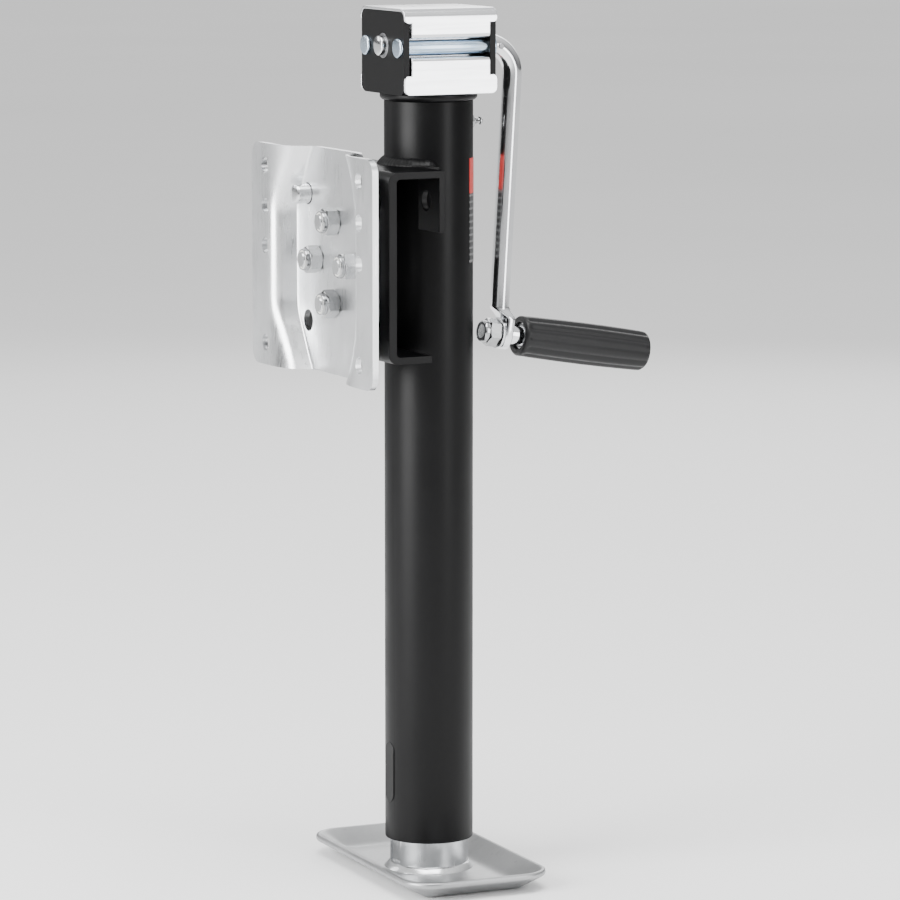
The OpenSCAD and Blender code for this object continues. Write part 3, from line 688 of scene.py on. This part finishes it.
def foot():
    """Pressed tray. The profile is inset from the outline and height, over the top then underneath."""
    half_x, half_y, corner_r, yaw = 50, 89, 21, -2.3
    profile = [(26, 3.2), (23.5, 3.2), (21.5, 3.35), (19.5, 3.75), (17.5, 4.45), (15.5, 5.35), (5.2, 11.3),
               (3.6, 12.3), (2.4, 12.9), (1.4, 13.0), (0.5, 12.6), (0.1, 11.9), (0.0, 10.4), (0.5, 9.4),
               (1.6, 8.6), (15.6, 0.75), (17.0, 0.15), (18.4, 0), (26, 0)]
    rings = []
    c, s = math.cos(math.radians(yaw)), math.sin(math.radians(yaw))
    for inset, z in profile:
        outline = rounded_rect(half_x - inset, half_y - inset, max(corner_r - inset, 2.5), 12)
        rings.append([(x * c - y * s, x * s + y * c, z) for x, y in outline])
    return skin(rings)


make("foot_tray", foot(), "foot_zinc", "leg", ["foot_plate"], sharp=70)


def foot_bead():
    rings = []
    for a in angles(180):
        b = 3.7 * (1 + 0.03 * math.cos(7 * a) + 0.03 * math.sin(3 * a + 1))
        section = [(0, 0), (b, 0), (b * 0.86, b * 0.22), (b * 0.5, b * 0.62), (b * 0.14, b * 1.0),
                   (0, b * 1.05)]
        rings.append(bead_ring(section, INNER_R + 0.02, a, 3.22))
    return skin(rings, closed_along=True)


make("foot_weld_bead", foot_bead(), "plain_zinc", "leg", ["foot_weld"], sharp=60)

# ---------------------------------------------------------------- screw

STUB_LOW, STUB_HIGH = 480.9, 529
stub_side = soft([(0.01, STUB_LOW), (15, 481), (15, 486), (10, 486), (10, 491), (8, 491.4), (8, STUB_HIGH),
                  (0.01, STUB_HIGH)], [0, 0.6, 0.6, 0, 0.5, 0.3, 0.8, 0], 3, False)[1:-1]
screw_stub = lathe([(0, STUB_LOW)] + stub_side + [(0, STUB_HIGH)], 64, False)
make("screw_with_thread", joined(thread(9.5, 1.6, 5.0, 424, 36, 58), screw_stub), "dark_steel", "screw",
     ["lift_screw"])
softened("screw_gear", "dull_steel", "screw", 0.2, 1)

# ---------------------------------------------------------------- crank

LEAN, TILT = math.radians(3.4), math.radians(9.2)
BEND_X, BEND_R = 40, 20
GRIP_AT = Vector((53.8, 0, 350.2))
GRIP_AXIS = Vector((math.cos(TILT), 0, -math.sin(TILT)))
TAPER_FROM_Z = 368.5  # height where the bar starts to flatten
FLAT_ABOVE_BOLT = 10  # fully flattened from here down
PADDLE_HALF_T, PADDLE_HALF_W = 3.15, 10


def crank_stations():
    """Centre x, z, direction angle below +X, half thickness, half width, squareness, along the bar."""
    stations = []
    for x, chamfer in ((-36.2, 0.7), (-36.0, 0.25), (-35.4, 0), (-33, 0), (0, 0), (39.9, 0)):
        stations.append((x, SHAFT_Z, 0.0, BAR_R - chamfer, BAR_R - chamfer, 2))
    down = math.pi / 2 + LEAN
    for k in range(1, 25):
        a = down * k / 24
        bend_x, bend_z = BEND_X + BEND_R * math.sin(a), SHAFT_Z - BEND_R + BEND_R * math.cos(a)
        stations.append((bend_x, bend_z, a, BAR_R, BAR_R, 2))
    x0, z0 = stations[-1][0], stations[-1][1]
    for z in (500, 460, 420, 390, TAPER_FROM_Z):
        stations.append((x0 - (z0 - z) * math.tan(LEAN), z, down, BAR_R, BAR_R, 2))
    start = Vector(stations[-1][:2])
    grip, up = Vector((GRIP_AT.x, GRIP_AT.z)), Vector((math.sin(TILT), math.cos(TILT)))
    end = grip + up * FLAT_ABOVE_BOLT
    paddle_dir = math.pi / 2 + TILT
    for k in range(1, 13):
        t = k / 12
        s = ease(t)
        stations.append((start.x + (end.x - start.x) * s, start.y + (end.y - start.y) * t,
                         down + (paddle_dir - down) * s, BAR_R + (PADDLE_HALF_T - BAR_R) * s,
                         BAR_R + (PADDLE_HALF_W - BAR_R) * s, 2 + 3.5 * s))
    round_end = [-PADDLE_HALF_W * math.sin(math.radians(a)) for a in (15, 30, 42, 53, 62, 70, 77, 83, 87.5)]
    for t in [8, 4, 0] + round_end:
        c = grip + t * up
        wide = math.sqrt(max(PADDLE_HALF_W ** 2 - t * t, 0.2)) if t < 0 else PADDLE_HALF_W
        stations.append((c.x, c.y, paddle_dir, PADDLE_HALF_T if wide > 3 else 2.9, wide, 5.5))
    return stations


def crank_shape():
    rings = []
    for x, z, a, thick, wide, power in crank_stations():
        ring = []
        for t in angles(40):
            c, s = math.cos(t), math.sin(t)
            u = math.copysign(abs(c) ** (2 / power), c) * thick
            v = math.copysign(abs(s) ** (2 / power), s) * wide
            ring.append((x + math.sin(a) * u, v, z + math.cos(a) * u))
        rings.append(ring)
    return skin(rings)


def along_grip(part, at=0.0, roll=0.0):
    return moved(part, turn_to(GRIP_AXIS, GRIP_AT + GRIP_AXIS * at, roll))


crank = make("crank_handle_bar", crank_shape(), "chrome_bar", "crank", ["crank_bar"], sharp=50)
carved(crank, along_grip(lathe([(0, -20), (5.15, -20), (5.15, 20), (0, 20)], 40, False)), "DIFFERENCE")
tidy_mesh(crank.data, 50)


def nylock(across, hex_h, total, hole):
    """Hexagon lock nut with a swaged collar over a ring of nylon."""
    collar = soft([(hole, hex_h - 0.3), (across * 0.45, hex_h - 0.3), (across * 0.445, total - 0.9),
                   (across * 0.41, total), (hole + 1.15, total), (hole + 1.0, hex_h + 0.3),
                   (hole, hex_h + 0.2)], [0, 0, 0.5, 0.6, 0.3, 0, 0])
    return joined(hex_block(across, hex_h, hole), lathe(collar, 60))


FLIP = Matrix.Rotation(math.pi, 4, "X")
make("grip_lock_nut_body", along_grip(moved(nylock(16.1, 8.3, 11.6, 5.05), FLIP), -4.72, 0.3), "shade_darkened_zinc",
     "crank", ["grip_lock_nut"])
make("grip_nut_nylon", along_grip(tube_ring(5.03, 6.0, -16.2, -13.2)), "dark_nylon", "crank",
     ["grip_nut_insert"])
make("grip_washer_disc", along_grip(tube_ring(5.25, 10, -4.67, -3.17, 0.35, 64)), "plain_zinc", "crank",
     ["grip_washer"])

sleeve, sleeve_collar = tube_ring(5.03, 6, 3.17, 95.4, n=56), tube_ring(5.9, 8.5, 12.7, 14.7, n=56)
make("grip_sleeve_tube", along_grip(joined(sleeve, sleeve_collar)), "chrome_bar", "crank", ["grip_sleeve"])

bolt_end = along_grip(moved(thread(BOLT_R, 0.6, 1.5, 13.0, 36), FLIP), -3.0)
bolt_shank = along_grip(lathe([(0, -3.2), (4.99, -3.2), (4.99, 96), (0, 96)], 48, False))
bolt_head = along_grip(hex_block(15.1, 6.3, 0), 95.62)
make("grip_bolt_bar", joined(bolt_end, bolt_shank, bolt_head), "plain_zinc", "crank", ["grip_bolt"])

cross_pin = lathe([(0, -6.95), (1.6, -6.95), (1.98, -6.6), (1.98, 6.6), (1.6, 6.95), (0, 6.95)], 32, False)
make("crank_cross_pin_bar", moved(cross_pin, turn_to((0, 1, 0), (49, 0, 537))), "dark_steel", "crank",
     ["crank_cross_pin"])
softened("pinion_gear", "dull_steel", "crank", 0.2, 1)


def grip_shape():
    """Moulded handle with soft flutes between a short rim at the near end and a rounded far end."""
    low, high, flutes, flute_depth, n = 10.7, 104.3, 12, 1.15, 168
    near = [(0, 9.6), (0, 11.5), (0.4, 12.4), (1.3, 13.05), (2.6, 13.3), (4, 13.35), (5.5, 13.4), (8, 13.5),
            (14, 13.6), (30, 13.9), (47, 14.0), (64, 13.9), (80, 13.6), (87, 13.4)]
    far = [(3, 13.25), (1.6, 12.9), (0.5, 12.1), (0, 11.0), (0, 9.8)]
    outer = [(low + s, radius) for s, radius in near] + [(high - s, radius) for s, radius in far]
    rings = []
    for s, radius in outer:
        depth = flute_depth * ease((s - low - 1.6) / 3) * ease((high - 0.6 - s) / 2)
        ring = []
        for a in angles(n):
            cut = (0.5 - 0.5 * math.cos(flutes * a)) ** 0.65
            r = radius - depth * (1 - cut)
            ring.append((r * math.cos(a), r * math.sin(a), s))
        rings.append(ring)
    bore = ((high - 0.4, 9.5), (high - 8.9, 9.5), (high - 8.95, 6.1), (low + 4.95, 6.1), (low + 4.9, 9.1),
            (low + 0.3, 9.2))
    rings += [circle(radius, s, n) for s, radius in bore]
    return skin(rings, closed_along=True)


make("moulded_hand_grip", along_grip(grip_shape()), "grip_plastic", "grip", ["hand_grip"], sharp=50)

# ---------------------------------------------------------------- mount plate

FACE_X, PLATE_T, DEPTH = -83.3, 4.0, 17.0
PLATE_HALF_Y, PLATE_HALF_Z, PLATE_CORNER_R = 91, 72, 9
FLOOR_EDGE = 5.4  # from the dish outline in to the flat floor
BOLT_CIRCLE_R = 26.3
SWIVEL_BOLTS = [(BOLT_CIRCLE_R * math.cos(a), PIVOT_Z + BOLT_CIRCLE_R * math.sin(a))
                for a in (0, math.pi / 2, math.pi, -math.pi / 2)]


def dish_profile():
    """Lateral offset, depth and slope angle of the dish wall, from the flange to the floor."""
    rc, rf, slope, steps = 10.1, 1.6, 78, 6  # bend radii at the flange and at the floor, wall angle
    phi = math.radians(slope)
    straight = (DEPTH - (rc + rf) * (1 - math.cos(phi))) / math.sin(phi)
    pts = [(0.0, 0.0, 0.0)]
    for k in range(1, steps + 1):
        a = phi * k / steps
        pts.append((-rc * math.sin(a), rc * (1 - math.cos(a)), a))
    l, x = pts[-1][0] - straight * math.cos(phi), pts[-1][1] + straight * math.sin(phi)
    pts.append((l, x, phi))
    for k in range(1, steps + 1):
        a = phi * (1 - k / steps)
        pts.append((l - rf * (math.sin(phi) - math.sin(a)), x + rf * (math.cos(a) - math.cos(phi)), a))
    shift = -pts[-1][0] - FLOOR_EDGE
    return [(p + shift, d, a) for p, d, a in pts]


def dish_half(z):
    """Half width of the dish outline at a height from the pivot, and its slope there."""
    wide, turn_from, turn_to_z, slope = 61.0, 27, 43, -25 / 37
    t = abs(z)
    if t < turn_from:
        return wide, 0.0
    if t > turn_to_z:
        return wide + slope * (t - 35), math.copysign(slope, z)
    return wide + slope * (t - turn_from) ** 2 / 32, math.copysign(slope * (t - turn_from) / 16, z)


def mirrored(pts):
    return [(x, -y, z) for x, y, z in reversed(pts)]


def plate_solid():
    """Dished sheet, built as rows along Y. Each row runs along the front and back again along the back."""
    profile = dish_profile()
    fine = [s * v for s in (-1, 1) for v in (26, 30, 34, 38, 42, 46)]
    rows = sorted(set([-PLATE_HALF_Z + 4 * k for k in range(37)] + fine))
    front, back = [], []
    for z in rows:
        w, slope = dish_half(z)
        c = math.sqrt(1 + slope * slope)
        wide = c * (1 + 1.3 * ease((abs(z) - 28) / 44))
        side = [(y, 0, 0) for y in (PLATE_HALF_Y, 84, 76)]
        for l, d, a in profile:
            side.append((w - FLOOR_EDGE * c + (l + FLOOR_EDGE) * wide, d, math.atan(math.tan(a) / wide)))
        inner_w = side[-1][0]
        side += [(inner_w * k, DEPTH, 0) for k in (0.75, 0.5, 0.25)]
        half_f, half_b = [], []
        for y, d, a in side:
            half_f.append((FACE_X + d, y, PIVOT_Z + z))
            zb = min(max(z - math.sin(a) * PLATE_T * slope / c, -PLATE_HALF_Z), PLATE_HALF_Z)
            half_b.append((FACE_X + d + PLATE_T * math.cos(a), y + math.sin(a) * PLATE_T / c, PIVOT_Z + zb))
        front.append(half_f + [(FACE_X + DEPTH, 0, PIVOT_Z + z)] + mirrored(half_f))
        back.append(half_b + [(FACE_X + DEPTH + PLATE_T, 0, PIVOT_Z + z)] + mirrored(half_b))
    rings = [f + list(reversed(b)) for f, b in zip(front, back)]
    n, m = len(front[0]), len(rings[0])
    verts, faces = skin(rings, caps=False)
    for base in (0, (len(rings) - 1) * m):
        faces += [(base + i, base + i + 1, base + m - 2 - i, base + m - 1 - i) for i in range(n - 1)]
    return verts, faces


plate = make("mount_plate_dished", plate_solid(), "bright_zinc", "swivel_mount", ["mount_plate"])
corner = rounded_rect(PLATE_HALF_Y, PLATE_HALF_Z, PLATE_CORNER_R, 10)
carved(plate, skin([[(x, y, PIVOT_Z + z) for y, z in corner] for x in (-90, -50)]), "INTERSECT")
holes = [bar_x(5.35, -90, -70, s * 70.65, PIVOT_Z + z) for s in (-1, 1) for z in (57.6, 31.6, 5.6, -57.6)]
holes += [bar_x(5.15, -72, -55, y, z) for y, z in SWIVEL_BOLTS]
holes += [bar_x(7.05, -72, -55, PIN_Y, PIVOT_Z + s * 41.01) for s in (-1, 1)]
carved(plate, joined(*holes), "DIFFERENCE")
tidy_mesh(plate.data, 35)
bevelled(plate, 0.45, 2)

softened("swivel_hub", "dull_steel", "swivel_mount", 0.5)
softened("retainer_disc", "dull_steel", "swivel_mount", 0.5)
nuts, nylon, bolts = [], [], []
for (y, z), roll in zip(SWIVEL_BOLTS, (0.35, 0.9, 0.1, 0.62)):
    out = turn_to((-1, 0, 0), (-66.32, y, z), roll)
    nuts.append(moved(nylock(15.9, 8.4, 11.4, 5.05), out))
    nylon.append(moved(tube_ring(5.05, 6.1, 8.75, 11.05), out))
    bolts.append(moved(thread(BOLT_R, 0.6, 1.5, 15.7, 36), turn_to((-1, 0, 0), (-63, y, z))))
    bolts.append(bar_x(4.98, -63.2, -47, y, z))
    bolts.append(moved(hex_block(15.9, 6.4, 0), turn_to((1, 0, 0), (-47.15, y, z), roll)))
make("swivel_lock_nuts", joined(*nuts), "shade_darkened_zinc", "swivel_mount", ["swivel_nuts"])
make("swivel_nut_nylons", joined(*nylon), "white_nylon", "swivel_mount", ["swivel_nut_inserts"])
make("swivel_bolt_set", joined(*bolts), "plain_zinc", "swivel_mount", ["swivel_bolts"])

# ---------------------------------------------------------------- lock pin

PIN_PROFILE = [(0, 0), (4.2, 0), (5.6, 0.5), (6.3, 1.6), (BAR_R, 2.4), (BAR_R, 79.4), (5.9, 80.3),
               (5.2, 80.6), (0, 80.6)]
PULL_BAR_PROFILE = [(0, -23), (2.6, -23), (3.6, -22.3), (4, -21.2), (4, 21.2), (3.6, 22.3), (2.6, 23),
                    (0, 23)]
make("lock_pin_bar", moved(lathe(PIN_PROFILE, 56, False), turn_to((1, 0, 0), (-76.6, PIN_Y, PIN_Z))),
     "plain_zinc", "pin", ["lock_pin"])
make("pin_collar_ring",
     moved(tube_ring(6.37, 10, 0, 3, 0.4, 56), turn_to((1, 0, 0), (-51.2, PIN_Y, PIN_Z))),
     "dull_steel", "pin", ["pin_collar"])
make("pull_bar_handle", moved(lathe(PULL_BAR_PROFILE, 40, False), Matrix.Translation((-2, PIN_Y, PIN_Z))),
     "plain_zinc", "pin", ["pull_bar"])

# ---------------------------------------------------------------- carried-over CAD pieces

CARRIED = {
    "bearing_seat": "dull_steel",
    "screw_bushing": "bronze",
    "upper_race": "race_steel",
    "bearing_balls": "race_steel",
    "bearing_cage": "bronze",
    "lift_nut": "bronze",
    "lower_race": "race_steel",
    "screw_gear_pin": "dark_steel",
    "pinion_pin": "dark_steel",
}
for node, look in CARRIED.items():
    dress(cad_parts[node], look)
